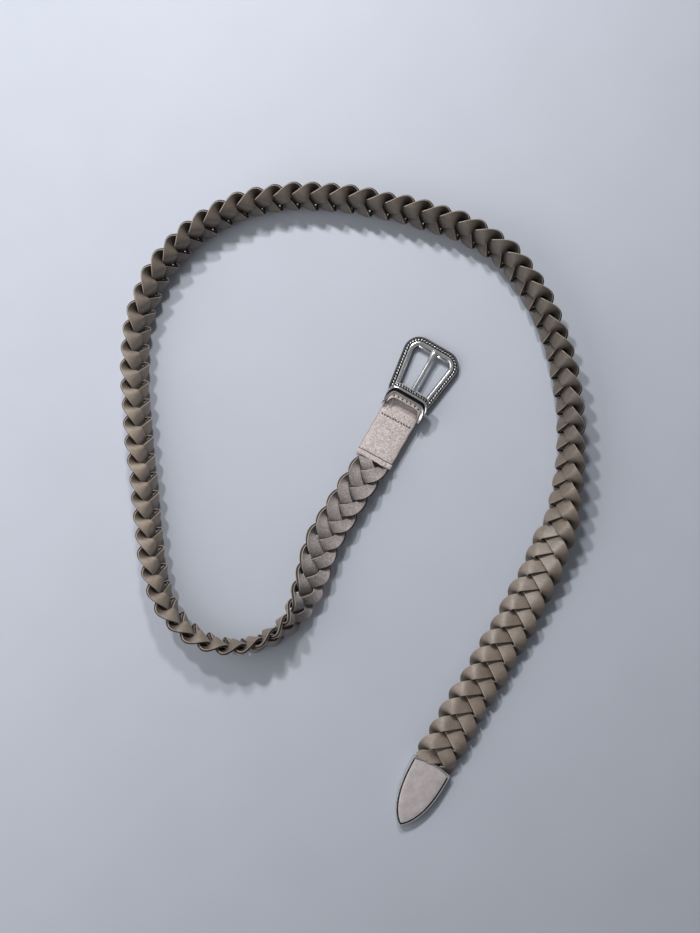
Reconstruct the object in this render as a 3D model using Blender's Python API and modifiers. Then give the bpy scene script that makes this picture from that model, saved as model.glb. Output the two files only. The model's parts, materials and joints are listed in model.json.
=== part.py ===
"""A braided leather belt with a cast buckle, an arched keeper and a metal tip.

The belt lies on a flat surface in one open curve. The buckle end lies with its flesh side up,
the long middle stands on its edge with the grain side facing the inside of the curve, and the
tip end lies with its grain side up. Everything is in metres, with +Z up.
"""
import math

import bmesh
import bpy
from mathutils import Matrix, Vector

# The braid: three flat leather strands
BRAID_LENGTH = 1.004
BRAID_PITCH = 0.0352
STRAND_WIDTH = 0.0074
STRAND_WALL = 0.0016
BRAID_SWING = 0.0086
BRAID_RISE = 0.00320
EDGE_ROLL = 0.70
EDGE_ROLL_POWER = 3
REST_POWER = 1.2
REST_FACE = 1.42
FAN_LENGTH = 0.011
LAY_LENGTH = 0.006
LAY_CLEAR = 0.0015
STATIONS_PER_PITCH = 12
STRAND_COUNT = 3
PIECE_GAP = 0.0003

# The folded leather tab
TAB_WIDTH = 0.0236
TAB_FOLD_WIDTH = 0.0162
TAB_LENGTH = 0.0485
TAB_WALL = 0.0015
TAB_FOLD_TAPER = 0.006
TAB_FOLD_START = 0.0042
TAB_BAND = 0.0036
TAB_BAND_RISE = 0.0005
TAB_LEAD = 0.0050
STRAND_TUCK = 0.029
PRONG_SLOT_WIDTH = 0.0052
PRONG_SLOT_DEPTH = 0.0046

# The cast buckle frame and its bar
FRAME_LENGTH = 0.0355
FRAME_FAR_WIDTH = 0.0396
FRAME_NEAR_WIDTH = 0.0292
FRAME_TAIL = 0.0032
FRAME_CORNER = 0.0072
RAIL_WIDTH = 0.0060
RAIL_HEIGHT = 0.0044
BAR_RADIUS = 0.0017
NOTCH_WIDTH = 0.0044
NOTCH_DEPTH = 0.0016
NOTCH_REACH = 0.0033

# The prong that turns on the bar
PRONG_RADIUS = 0.00130
PRONG_TIP_RADIUS = 0.00155
PRONG_EYE_WALL = 0.0012
PRONG_EYE_WIDTH = 0.0040
PRONG_CLEARANCE = 0.0002
PRONG_LENGTH = 0.0318

# The arched keeper and the strip of leather inside it
KEEPER_WALL = 0.0013
KEEPER_RISE = 0.0066
KEEPER_HOOD = 0.0022
KEEPER_BAR_WALL = 0.0014
KEEPER_SETBACK = 0.0055
KEEPER_FOOT = 0.0090
KEEPER_CROWN_LENGTH = 0.0066
KEEPER_RELIEF = 0.0006
KEEPER_BULGE = 4.5
KEEPER_SQUARE = 9.0
KEEPER_SINK = 0.8
KEEPER_RELIEF_START = 0.05
KEEPER_RELIEF_SPAN = 0.5
LINING_WALL = 0.0014
LINING_LENGTH = 0.0052
LINING_REACH = 0.0024
LINING_MARGIN = 0.16

# The metal tip
TIP_LENGTH = 0.0424
TIP_WIDTH = 0.0264
TIP_HEIGHT = 0.0050
TIP_MOUTH_BULGE = 0.0021
TIP_SHOULDER = 2.7
TIP_TAPER = 0.70
TIP_POCKET_DEPTH = 0.0110
TIP_RIM_WIDTH = 0.0013
TIP_FACE_SINK = 0.0005
TIP_POINT_INSET = 1.6

# How the belt lies: each row is one stretch of the braid, from the tab to the tip.
# Columns: share of the braid's length, turn in degrees (left is positive),
# roll in degrees at the stretch's end (0 flesh side up, 90 on edge, 180 grain side up),
# share of the usual pitch.
STRETCHES = (
    (0.04, -3.6, 3.0, 1.08),
    (0.034, 14.9, 22.0, 1.06),
    (0.022, -2.5, 44.0, 1.02),
    (0.02, -21.7, 67.0, 1.0),
    (0.077, -96.2, 97.0, 0.99),
    (0.038, -31.3, 110.0, 0.99),
    (0.088, -4.2, 114.0, 0.99),
    (0.05, -10.2, 113.0, 0.99),
    (0.088, -51.2, 112.0, 0.985),
    (0.063, -32.8, 111.0, 0.985),
    (0.038, -10.2, 112.0, 0.985),
    (0.063, -12.6, 115.0, 0.99),
    (0.06, -36.6, 115.0, 0.99),
    (0.101, -33.1, 115.0, 1.0),
    (0.042, -9.6, 129.0, 1.0),
    (0.028, -10.4, 156.0, 1.03),
    (0.087, -9.2, 180.0, 1.08),
    (0.067, 1.6, 180.0, 1.08),
)

# One strand's height over the braid's middle, as shares of BRAID_RISE.
# Columns: share, number of the wave in one pitch.
LIFT_WAVES = ((0.90, 2), (-0.08, 4))
TILT_WAVES = ((-0.40, 1), (-0.10, 3))
CUP_SHARE = 0.06

# The rail's section. Columns: share of the width, inner edge to outer edge, share of the height.
RAIL_SECTION = (
    (-0.50, -0.50),
    (-0.50, 0.22),
    (-0.42, 0.44),
    (-0.26, 0.56),
    (-0.06, 0.54),
    (0.06, 0.38),
    (0.09, 0.16),
    (0.29, 0.14),
    (0.33, 0.40),
    (0.42, 0.36),
    (0.50, 0.06),
    (0.50, -0.50),
)

# The keeper's crown, front to back. Columns: share of the length, share of KEEPER_RELIEF.
CROWN_SECTION = (
    (0.00, 0.0),
    (0.02, 0.8),
    (0.12, 0.8),
    (0.18, 0.0),
    (0.42, 0.0),
    (0.50, 1.4),
    (0.68, 1.4),
    (0.76, 0.0),
    (0.90, 0.0),
    (1.00, 0.6),
)

# The prong's rise over the bar. Columns: share of its length, share of its drop, share of radius gained.
PRONG_COURSE = (
    (0.00, 0.00, 0.0),
    (0.15, 0.06, 0.0),
    (0.45, 0.35, 0.0),
    (0.75, 0.72, 0.0),
    (0.88, 0.88, 0.9),
    (0.96, 0.97, 0.9),
    (1.00, 1.00, 0.2),
)

BAR_HEIGHT = BAR_RADIUS + PIECE_GAP + TAB_WALL
TAB_HALF_GAP = STRAND_WALL / 2 + PIECE_GAP
END_WIDTH = (TAB_WIDTH - 4 * PIECE_GAP) / STRAND_COUNT - PIECE_GAP
END_SWING = (END_WIDTH + PIECE_GAP) / math.sin(math.radians(120))
BRAID_HALF_WIDTH = BRAID_SWING + STRAND_WIDTH / 2 * math.cos(EDGE_ROLL)
BRAID_HALF_WALL = BRAID_RISE * REST_FACE + STRAND_WALL / 2
MOUTH_Y = -TAB_LENGTH
TIP_MIDDLE = TIP_HEIGHT / 2

LEATHER_GRAIN = (0.26, 0.20, 0.155, 1.0)
LEATHER_SUEDE = (0.47, 0.40, 0.37, 1.0)
OLD_SILVER = (0.42, 0.42, 0.43, 1.0)
TIP_SILVER = (0.50, 0.46, 0.45, 1.0)


def clear_scene():
    """Remove every object that is in the scene."""
    for item in list(bpy.data.objects):
        bpy.data.objects.remove(item, do_unlink=True)


def make_collection(name):
    """Return a new collection linked to the scene."""
    group = bpy.data.collections.new(name)
    bpy.context.scene.collection.children.link(group)
    return group


def make_material(name, colour, roughness, metallic):
    """Return a Principled material."""
    material = bpy.data.materials.new(name)
    material.use_nodes = True
    shader = material.node_tree.nodes["Principled BSDF"]
    shader.inputs["Base Color"].default_value = colour
    shader.inputs["Roughness"].default_value = roughness
    shader.inputs["Metallic"].default_value = metallic
    return material


def add_object(name, data, group, material=None):
    """Put a mesh or curve into the scene as a named object."""
    item = bpy.data.objects.new(name, data)
    group.objects.link(item)
    if material is not None:
        data.materials.append(material)
    return item


def mesh_from_bmesh(name, bm):
    """Turn a bmesh into a mesh whose faces point outwards."""
    bmesh.ops.recalc_face_normals(bm, faces=bm.faces)
    mesh = bpy.data.meshes.new(name)
    bm.to_mesh(mesh)
    bm.free()
    return mesh


def evaluated_mesh(item):
    """Return the mesh that an object shows, in world space."""
    bpy.context.view_layer.update()
    depsgraph = bpy.context.evaluated_depsgraph_get()
    mesh = bpy.data.meshes.new_from_object(item.evaluated_get(depsgraph))
    mesh.transform(item.matrix_world)
    return mesh


def as_welded_mesh(item, group, material):
    """Replace a curve object by a closed mesh object of the same name."""
    name = item.name
    mesh = evaluated_mesh(item)
    bm = bmesh.new()
    bm.from_mesh(mesh)
    bmesh.ops.remove_doubles(bm, verts=bm.verts, dist=0.00001)
    bm.to_mesh(mesh)
    bm.free()
    bpy.data.objects.remove(item, do_unlink=True)
    return add_object(name, mesh, group, material)


def cutter_box(name, low, high):
    """Return a box that only cuts, from its lowest corner to its highest."""
    bm = bmesh.new()
    size = Vector(high) - Vector(low)
    bmesh.ops.create_cube(bm, size=1.0, matrix=Matrix.Diagonal((*size, 1.0)))
    mesh = mesh_from_bmesh(name, bm)
    box = add_object(name, mesh, CUTTERS)
    box.location = (Vector(high) + Vector(low)) / 2
    return as_cutter(box)


def as_cutter(item):
    """Mark an object as one that only cuts or joins."""
    item.hide_render = True
    item.display_type = "WIRE"
    return item


def cylinder_along_x(name, radius, width, sides):
    """Return a cylinder on the bar's axis, centred on x = 0."""
    bm = bmesh.new()
    turn = Matrix.Rotation(math.radians(90), 4, "Y")
    lift = Matrix.Translation((0.0, 0.0, BAR_HEIGHT))
    bmesh.ops.create_cone(bm, cap_ends=True, segments=sides, radius1=radius, radius2=radius,
                          depth=width, matrix=lift @ turn)
    return as_cutter(add_object(name, mesh_from_bmesh(name, bm), CUTTERS))


def combine(item, other, operation):
    """Add a Boolean modifier that unites or cuts."""
    step = item.modifiers.new(other.name, "BOOLEAN")
    step.operation = operation
    step.object = other


def hang_on_bar(item):
    """Give a piece that turns on the bar its origin on the bar's axis."""
    item.data.transform(Matrix.Translation((0.0, 0.0, -BAR_HEIGHT)))
    item.parent = BAR_AXIS


def shade_round(item, degrees=35.0):
    """Shade a mesh smooth, with its corners kept sharp."""
    item.data.shade_smooth()
    item.data.set_sharp_from_angle(angle=math.radians(degrees))


def ease(share):
    """Smooth step from 0 to 1."""
    share = min(max(share, 0.0), 1.0)
    return share * share * (3.0 - 2.0 * share)


class Route:
    """The braid's middle line on the ground, with its heading, roll and strand phase."""

    def __init__(self):
        total = sum(row[0] for row in STRETCHES)
        self.ends = [0.0]
        self.turns = [-90.0]
        self.rolls = [0.0]
        self.pitches = [STRETCHES[0][3]]
        for share, turn, roll, pitch in STRETCHES:
            self.ends.append(self.ends[-1] + share / total * BRAID_LENGTH)
            self.turns.append(self.turns[-1] + turn)
            self.rolls.append(roll)
            self.pitches.append(pitch)
        self.walk()

    def between(self, values, along):
        """Read a column at a length along the braid, on a smooth curve through its rows."""
        along = min(max(along, 0.0), BRAID_LENGTH)
        row = 0
        while row < len(self.ends) - 2 and along > self.ends[row + 1]:
            row += 1
        span = self.ends[row + 1] - self.ends[row]
        share = (along - self.ends[row]) / span
        left = self.slope(values, row) * span
        right = self.slope(values, row + 1) * span
        cube = share ** 3
        square = share ** 2
        return ((2 * cube - 3 * square + 1) * values[row] + (cube - 2 * square + share) * left
                + (3 * square - 2 * cube) * values[row + 1] + (cube - square) * right)

    def slope(self, values, row):
        """Slope of a column at a row, from its two neighbours, and level at both ends."""
        if row in (0, len(self.ends) - 1):
            return 0.0
        rise = values[row + 1] - values[row - 1]
        return rise / (self.ends[row + 1] - self.ends[row - 1])

    def walk(self):
        """Add up the steps along the braid, and the phase of the plait."""
        self.steps = 1000
        self.stride = BRAID_LENGTH / self.steps
        spot = Vector((0.0, MOUTH_Y))
        wound = 0.0
        self.spots = [spot.copy()]
        self.wounds = [0.0]
        for step in range(self.steps):
            along = (step + 0.5) * self.stride
            heading = math.radians(self.between(self.turns, along))
            spot = spot + Vector((math.cos(heading), math.sin(heading))) * self.stride
            wound += self.stride * self.plaiting(along) / self.between(self.pitches, along)
            self.spots.append(spot.copy())
            self.wounds.append(wound)
        thirds = max(round(wound / BRAID_PITCH * STRAND_COUNT), STRAND_COUNT)
        self.pitch = wound / (thirds / STRAND_COUNT)

    def plaiting(self, along):
        """1 where the strands are plaited, 0 where they lie side by side at both ends."""
        start = ease((along - LAY_LENGTH) / FAN_LENGTH)
        finish = BRAID_LENGTH - TIP_MOUTH_BULGE - LAY_LENGTH
        return start * ease((finish - along) / FAN_LENGTH)

    def rising(self, along):
        """1 where the strands cross, 0 where they lie flat inside the tab and the tip."""
        start = ease((along - LAY_CLEAR) / LAY_LENGTH)
        finish = BRAID_LENGTH - TIP_MOUTH_BULGE - 2 * LAY_CLEAR
        return start * ease((finish - along) / LAY_LENGTH)

    def phase(self, along):
        """Angle of the plait at a length along the braid."""
        return math.tau * self.read(self.wounds, along) / self.pitch

    def read(self, values, along):
        """Read one of the walked lists between its steps."""
        place = min(max(along / self.stride, 0.0), self.steps - 1e-6)
        step = int(place)
        return values[step] + (values[step + 1] - values[step]) * (place - step)

    def height(self, along):
        """Height of the braid's middle over the ground."""
        roll = math.radians(self.between(self.rolls, along))
        edge = (BRAID_HALF_WIDTH * abs(math.sin(roll))) ** REST_POWER
        face = (BRAID_HALF_WALL * abs(math.cos(roll))) ** REST_POWER
        free = (edge + face) ** (1.0 / REST_POWER)
        rising = self.rising(along)
        seat = BAR_HEIGHT if along < BRAID_LENGTH / 2 else TIP_MIDDLE
        return seat + (free - seat) * rising

    def frame(self, along):
        """Middle point, direction, width direction and grain normal at a length."""
        heading = math.radians(self.between(self.turns, along))
        roll = math.radians(self.between(self.rolls, along))
        ahead = Vector((math.cos(heading), math.sin(heading), 0.0))
        inward = Vector((math.sin(heading), -math.cos(heading), 0.0))
        grain = inward * math.sin(roll) - Vector((0.0, 0.0, math.cos(roll)))
        spot = self.read(self.spots, along)
        beyond = along - min(max(along, 0.0), BRAID_LENGTH)
        middle = Vector((spot.x, spot.y, self.height(along))) + ahead * beyond
        return middle, ahead, grain.cross(ahead), grain


def strand_point(route, strand, along, side):
    """A point of one strand's middle sheet; side runs from -1 to 1 across its width."""
    phase = route.phase(along) + strand * math.tau / STRAND_COUNT
    spread = route.plaiting(along)
    lift = route.rising(along)
    swing = END_SWING + (BRAID_SWING - END_SWING) * spread
    half = (END_WIDTH + (STRAND_WIDTH - END_WIDTH) * spread) / 2
    rate = math.tau / route.pitch * spread / route.between(route.pitches, along)
    lean = math.atan(swing * rate * math.cos(phase))
    roll = EDGE_ROLL * math.sin(phase) ** EDGE_ROLL_POWER * spread
    flat = side * half * math.cos(roll)
    sideways = swing * math.sin(phase) + flat * math.cos(lean)
    forward = along - flat * math.sin(lean)
    rise = sum(share * math.sin(wave * phase) for share, wave in LIFT_WAVES)
    rise += side * sum(share * math.cos(wave * phase) for share, wave in TILT_WAVES)
    rise += CUP_SHARE * side * side * math.sin(2 * phase)
    middle, ahead, across, grain = route.frame(forward)
    rise = rise * BRAID_RISE * lift - side * half * math.sin(roll)
    return middle + across * sideways + grain * rise


def make_strands(route, leather):
    """Build the three strands as thin sheets with thickness."""
    stations = int(BRAID_LENGTH / route.pitch * STATIONS_PER_PITCH)
    full = STRAND_TUCK + BRAID_LENGTH + TIP_POCKET_DEPTH - 2 * PIECE_GAP
    for strand in range(STRAND_COUNT):
        bm = bmesh.new()
        bmesh.ops.create_grid(bm, x_segments=stations, y_segments=1, size=0.5)
        for vert in bm.verts:
            share = vert.co.x + 0.5
            side = 2.0 * vert.co.y
            vert.co = strand_point(route, strand, share * full - STRAND_TUCK, side)
        mesh = mesh_from_bmesh("strand", bm)
        item = add_object(f"strand_{strand + 1}", mesh, PARTS, leather)
        wall = item.modifiers.new("wall", "SOLIDIFY")
        wall.thickness = STRAND_WALL
        wall.offset = 0.0
        shade_round(item)


def tab_course():
    """Side view of the folded tab's middle sheet, from the lower end round the bar and back."""
    bend = BAR_RADIUS + PIECE_GAP + TAB_WALL / 2
    flat = TAB_HALF_GAP + TAB_WALL / 2
    course = [(-TAB_LENGTH, -flat), (-TAB_LENGTH / 2, -flat), (-TAB_FOLD_TAPER * 2, -flat)]
    course += [(-TAB_LEAD, -flat)]
    for turn in range(-90, 91, 20):
        angle = math.radians(turn)
        course.append((bend * math.cos(angle), bend * math.sin(angle)))
    course += [(-TAB_LEAD, flat), (-TAB_FOLD_TAPER * 2, flat), (-TAB_LENGTH / 2, flat)]
    course += [(-TAB_LENGTH + TAB_BAND * 1.1, flat), (-TAB_LENGTH + TAB_BAND, flat + TAB_BAND_RISE)]
    course += [(-TAB_LENGTH, flat + TAB_BAND_RISE)]
    return course


def make_tab(leather):
    """Build the tab: one sheet folded round the bar, slotted for the prong."""
    course = tab_course()
    columns = 4
    bm = bmesh.new()
    bmesh.ops.create_grid(bm, x_segments=len(course) - 1, y_segments=columns, size=0.5)
    for vert in bm.verts:
        place = round((vert.co.x + 0.5) * (len(course) - 1))
        y, z = course[place]
        waist = ease((-y - TAB_FOLD_START) / TAB_FOLD_TAPER)
        width = TAB_FOLD_WIDTH + (TAB_WIDTH - TAB_FOLD_WIDTH) * waist
        vert.co = Vector((vert.co.y * width, y, BAR_HEIGHT + z))
    tab = add_object("tab", mesh_from_bmesh("tab", bm), PARTS, leather)
    wall = tab.modifiers.new("wall", "SOLIDIFY")
    wall.thickness = TAB_WALL
    wall.offset = 0.0
    reach = BAR_RADIUS + PIECE_GAP + TAB_WALL * 2
    slot = cutter_box("prong_slot", (-PRONG_SLOT_WIDTH / 2, -PRONG_SLOT_DEPTH, BAR_HEIGHT - 2 * reach),
                      (PRONG_SLOT_WIDTH / 2, 2 * reach, BAR_HEIGHT + 2 * reach))
    combine(tab, slot, "DIFFERENCE")
    shade_round(tab)


def rail_line():
    """Middle line of the rails, from the near right end round the far corners to the left."""
    near = (FRAME_NEAR_WIDTH - RAIL_WIDTH) / 2
    far = (FRAME_FAR_WIDTH - RAIL_WIDTH) / 2
    top = FRAME_LENGTH - RAIL_WIDTH / 2
    lean = math.atan2(far - near, top + FRAME_TAIL)
    sweep = math.pi / 2 + lean
    centre_x = far - FRAME_CORNER * math.tan(sweep / 2)
    points = [Vector((near, -FRAME_TAIL))]
    steps = 7
    for step in range(steps + 1):
        angle = -lean + sweep * step / steps
        points.append(Vector((centre_x + FRAME_CORNER * math.cos(angle),
                              top - FRAME_CORNER + FRAME_CORNER * math.sin(angle))))
    return points + [Vector((-point.x, point.y)) for point in reversed(points)]


def make_frame(silver):
    """Build the buckle frame: a shaped rail swept round three sides, with the bar across."""
    route = rail_line()
    section = bpy.data.curves.new("rail_section", "CURVE")
    section.dimensions = "2D"
    outline = section.splines.new("POLY")
    outline.points.add(len(RAIL_SECTION) - 1)
    outline.use_cyclic_u = True
    for point, (across, up) in zip(outline.points, RAIL_SECTION):
        point.co = (across * RAIL_WIDTH, up * RAIL_HEIGHT, 0.0, 1.0)
    section_item = as_cutter(add_object("rail_section", section, CUTTERS))
    sweep = bpy.data.curves.new("buckle_frame", "CURVE")
    sweep.dimensions = "3D"
    sweep.twist_mode = "Z_UP"
    sweep.bevel_mode = "OBJECT"
    sweep.bevel_object = section_item
    sweep.use_fill_caps = True
    line = sweep.splines.new("POLY")
    line.points.add(len(route) - 1)
    for point, spot in zip(line.points, route):
        point.co = (spot.x, spot.y, RAIL_HEIGHT / 2, 1.0)
    item = add_object("buckle_frame", sweep, PARTS)
    frame = as_welded_mesh(item, PARTS, silver)
    bar = cylinder_along_x("bar", BAR_RADIUS, FRAME_NEAR_WIDTH - RAIL_WIDTH, 14)
    combine(frame, bar, "UNION")
    inner = FRAME_LENGTH - RAIL_WIDTH
    notch = cutter_box("notch", (-NOTCH_WIDTH / 2, inner - RAIL_WIDTH, RAIL_HEIGHT - NOTCH_DEPTH),
                       (NOTCH_WIDTH / 2, inner + NOTCH_REACH, RAIL_HEIGHT * 2))
    combine(frame, notch, "DIFFERENCE")
    shade_round(frame)
    hang_on_bar(frame)


def make_prong(silver):
    """Build the prong: a tapered rod with an eye round the bar."""
    eye_radius = BAR_RADIUS + PRONG_CLEARANCE + PRONG_EYE_WALL
    start = BAR_HEIGHT + eye_radius - PRONG_RADIUS
    finish = RAIL_HEIGHT - NOTCH_DEPTH + PIECE_GAP + PRONG_TIP_RADIUS
    curve = bpy.data.curves.new("prong", "CURVE")
    curve.dimensions = "3D"
    curve.bevel_depth = PRONG_RADIUS
    curve.bevel_resolution = 3
    curve.use_fill_caps = True
    line = curve.splines.new("POLY")
    line.points.add(len(PRONG_COURSE) - 1)
    for point, (share, drop, gain) in zip(line.points, PRONG_COURSE):
        point.co = (0.0, share * PRONG_LENGTH, start + (finish - start) * drop, 1.0)
        point.radius = 1.0 + (PRONG_TIP_RADIUS / PRONG_RADIUS - 1.0) * gain
    item = add_object("prong", curve, PARTS)
    prong = as_welded_mesh(item, PARTS, silver)
    eye = cylinder_along_x("prong_eye", eye_radius, PRONG_EYE_WIDTH, 20)
    hole = cylinder_along_x("prong_hole", BAR_RADIUS + PRONG_CLEARANCE, PRONG_EYE_WIDTH * 2, 20)
    combine(prong, eye, "UNION")
    combine(prong, hole, "DIFFERENCE")
    shade_round(prong)
    hang_on_bar(prong)


def keeper_ring(angle, inset):
    """Front view of the keeper: x and z at an angle round it, moved inwards by inset."""
    half = TAB_WIDTH / 2 + PIECE_GAP + KEEPER_WALL
    waist = BAR_HEIGHT + TAB_HALF_GAP + TAB_WALL
    crown = waist + KEEPER_RISE + KEEPER_WALL
    foot = BAR_HEIGHT - KEEPER_BAR_WALL / 2
    across = math.cos(angle)
    up = math.sin(angle)
    power = 2 / KEEPER_BULGE if up > 0 else 2 / KEEPER_SQUARE
    inset_down = inset * KEEPER_BAR_WALL / KEEPER_WALL
    height = crown - waist - inset if up > 0 else waist - foot - inset_down
    x = (half - inset) * math.copysign(abs(across) ** power, across)
    return x, waist + height * math.copysign(abs(up) ** power, up)


def keeper_span(angle):
    """Front and back of the keeper along the belt, and how much of the relief shows, at an angle."""
    up = math.sin(angle)
    arch = ease(up)
    sunk = ease(-up / KEEPER_SINK)
    front = KEEPER_HOOD * arch - KEEPER_SETBACK * (1.0 - arch)
    back = front - KEEPER_FOOT * (1.0 - arch) - KEEPER_CROWN_LENGTH * arch
    narrow = (front - back) / 2 * sunk
    relief = ease((up - KEEPER_RELIEF_START) / KEEPER_RELIEF_SPAN)
    return front - narrow / 2, back + narrow, relief


def make_keeper(silver):
    """Build the keeper: a closed metal loop, lofted round the tab, with a ridged crown."""
    turns = 36
    bm = bmesh.new()
    rings = []
    for turn in range(turns):
        angle = math.tau * (turn + 0.5) / turns
        front, back, relief = keeper_span(angle)
        ring = []
        for share, rise in CROWN_SECTION:
            x, z = keeper_ring(angle, -rise * KEEPER_RELIEF * relief)
            ring.append(bm.verts.new((x, front + (back - front) * share, z)))
        for share in (1.0, 0.0):
            x, z = keeper_ring(angle, KEEPER_WALL)
            ring.append(bm.verts.new((x, front + (back - front) * share, z)))
        rings.append(ring)
    for turn in range(turns):
        ring = rings[turn]
        following = rings[(turn + 1) % turns]
        for corner in range(len(ring)):
            other = (corner + 1) % len(ring)
            bm.faces.new((ring[corner], ring[other], following[other], following[corner]))
    keeper = add_object("keeper_loop", mesh_from_bmesh("keeper_loop", bm), PARTS, silver)
    shade_round(keeper)


def make_lining(leather):
    """Build the strip of leather that lies under the keeper's crown."""
    bm = bmesh.new()
    stations = 16
    bmesh.ops.create_grid(bm, x_segments=stations, y_segments=1, size=0.5)
    for vert in bm.verts:
        angle = math.pi * (LINING_MARGIN + (1.0 - 2.0 * LINING_MARGIN) * (vert.co.x + 0.5))
        back = keeper_span(angle)[1]
        x, z = keeper_ring(angle, KEEPER_WALL + PIECE_GAP + LINING_WALL / 2)
        vert.co = Vector((x, back + LINING_REACH - LINING_LENGTH * (vert.co.y + 0.5), z))
    lining = add_object("keeper_lining", mesh_from_bmesh("keeper_lining", bm), PARTS, leather)
    wall = lining.modifiers.new("wall", "SOLIDIFY")
    wall.thickness = LINING_WALL
    wall.offset = 0.0
    shade_round(lining)


def tip_outline(inset):
    """Half outline of the tip, from the mouth's middle to the point: x outwards, y along."""
    half = TIP_WIDTH / 2 - inset
    length = TIP_LENGTH - inset * TIP_POINT_INSET
    points = []
    for step in range(5):
        share = step / 5
        points.append((half * share, -TIP_MOUTH_BULGE * (1.0 - share * share) + inset))
    for step in range(13):
        share = math.sin(math.pi / 2 * step / 12)
        points.append((half * (1.0 - share ** TIP_SHOULDER) ** TIP_TAPER, length * share))
    return points


def outline_solid(name, inset, low, high, group):
    """Return the tip's outline as a slab between two heights, in the tip's own frame."""
    points = tip_outline(inset)
    ring = points + [(-x, y) for x, y in reversed(points[1:-1])]
    curve = bpy.data.curves.new(name, "CURVE")
    curve.dimensions = "2D"
    curve.fill_mode = "BOTH"
    curve.extrude = (high - low) / 2
    spline = curve.splines.new("POLY")
    spline.points.add(len(ring) - 1)
    spline.use_cyclic_u = True
    for point, (x, y) in zip(spline.points, ring):
        point.co = (x, y, 0.0, 1.0)
    item = add_object(name, curve, group)
    item.location = (0.0, 0.0, (low + high) / 2)
    return as_welded_mesh(item, group, None)


def make_tip(route, silver):
    """Build the tip: a hollow-mouthed shield with a raised rim round its face."""
    tip = outline_solid("tip", 0.0, 0.0, TIP_HEIGHT, PARTS)
    tip.data.materials.append(silver)
    edge = tip.modifiers.new("edge", "BEVEL")
    edge.width = TIP_RIM_WIDTH / 2
    edge.segments = 2
    edge.limit_method = "ANGLE"
    edge.angle_limit = math.radians(60)
    face = as_cutter(outline_solid("tip_face", TIP_RIM_WIDTH, TIP_HEIGHT - TIP_FACE_SINK,
                                   TIP_HEIGHT * 2, CUTTERS))
    combine(tip, face, "DIFFERENCE")
    wide = (END_SWING * math.sin(math.radians(120)) + END_WIDTH / 2) + PIECE_GAP
    room = STRAND_WALL / 2 + PIECE_GAP
    pocket = cutter_box("tip_pocket", (-wide, -TIP_LENGTH, TIP_MIDDLE - room),
                        (wide, TIP_POCKET_DEPTH, TIP_MIDDLE + room))
    combine(tip, pocket, "DIFFERENCE")
    middle, ahead, across, grain = route.frame(BRAID_LENGTH)
    turn = math.atan2(ahead.y, ahead.x) - math.pi / 2
    place = Matrix.Translation((middle.x, middle.y, 0.0)) @ Matrix.Rotation(turn, 4, "Z")
    bpy.context.view_layer.update()
    for item in (tip, face, pocket):
        item.matrix_world = place @ item.matrix_world
    shade_round(tip)


def seat_on_origin():
    """Move everything so the lowest point is at z = 0 and the outline is centred on the origin."""
    low = Vector((math.inf,) * 3)
    high = Vector((-math.inf,) * 3)
    for item in PARTS.objects:
        if item.type != "MESH":
            continue
        mesh = evaluated_mesh(item)
        for vert in mesh.vertices:
            low = Vector(map(min, low, vert.co))
            high = Vector(map(max, high, vert.co))
        bpy.data.meshes.remove(mesh)
    shift = -Vector(((low.x + high.x) / 2, (low.y + high.y) / 2, low.z))
    for item in (*PARTS.objects, *CUTTERS.objects):
        if item.parent is None:
            item.location = item.location + shift
    return shift


clear_scene()
PARTS = make_collection("braided_belt")
CUTTERS = make_collection("cutters")
BAR_AXIS = add_object("bar_axis", None, PARTS)
BAR_AXIS.location = (0.0, 0.0, BAR_HEIGHT)
ROUTE = Route()
GRAIN = make_material("strand_leather", LEATHER_GRAIN, 0.48, 0.0)
SUEDE = make_material("tab_leather", LEATHER_SUEDE, 0.90, 0.0)
SILVER = make_material("old_silver", OLD_SILVER, 0.32, 1.0)
PALE_SILVER = make_material("tip_silver", TIP_SILVER, 0.38, 1.0)
make_strands(ROUTE, GRAIN)
make_tab(SUEDE)
make_frame(SILVER)
make_prong(SILVER)
make_keeper(SILVER)
make_lining(SUEDE)
make_tip(ROUTE, PALE_SILVER)
SHIFT = seat_on_origin()
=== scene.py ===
"""Looks of the braided belt: leather, suede, antiqued silver, floor, light and camera."""
import json
import math

import bmesh
import bpy
import numpy as np
from bpy.props import FloatProperty, FloatVectorProperty, IntProperty, PointerProperty
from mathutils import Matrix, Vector


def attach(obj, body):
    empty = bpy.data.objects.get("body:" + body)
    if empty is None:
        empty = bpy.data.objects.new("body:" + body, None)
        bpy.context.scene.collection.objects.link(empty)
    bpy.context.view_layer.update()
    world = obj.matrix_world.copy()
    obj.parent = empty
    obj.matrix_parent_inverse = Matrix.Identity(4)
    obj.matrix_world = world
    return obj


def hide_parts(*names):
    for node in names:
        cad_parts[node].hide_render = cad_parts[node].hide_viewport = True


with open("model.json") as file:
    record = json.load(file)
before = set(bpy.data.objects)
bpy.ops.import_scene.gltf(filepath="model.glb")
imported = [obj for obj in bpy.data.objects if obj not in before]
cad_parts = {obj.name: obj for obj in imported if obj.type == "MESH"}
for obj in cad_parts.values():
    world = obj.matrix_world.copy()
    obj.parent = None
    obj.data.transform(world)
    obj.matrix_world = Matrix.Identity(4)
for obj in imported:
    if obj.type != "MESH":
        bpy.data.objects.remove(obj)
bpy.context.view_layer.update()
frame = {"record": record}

bl_info = {
    "name": "Braided Belt",
    "version": (1, 0, 0),
    "blender": (4, 5, 0),
    "location": "View3D > Sidebar > Belt",
    "description": "Dresses the braided belt with leather, suede and antiqued silver",
    "category": "Object",
}

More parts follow.
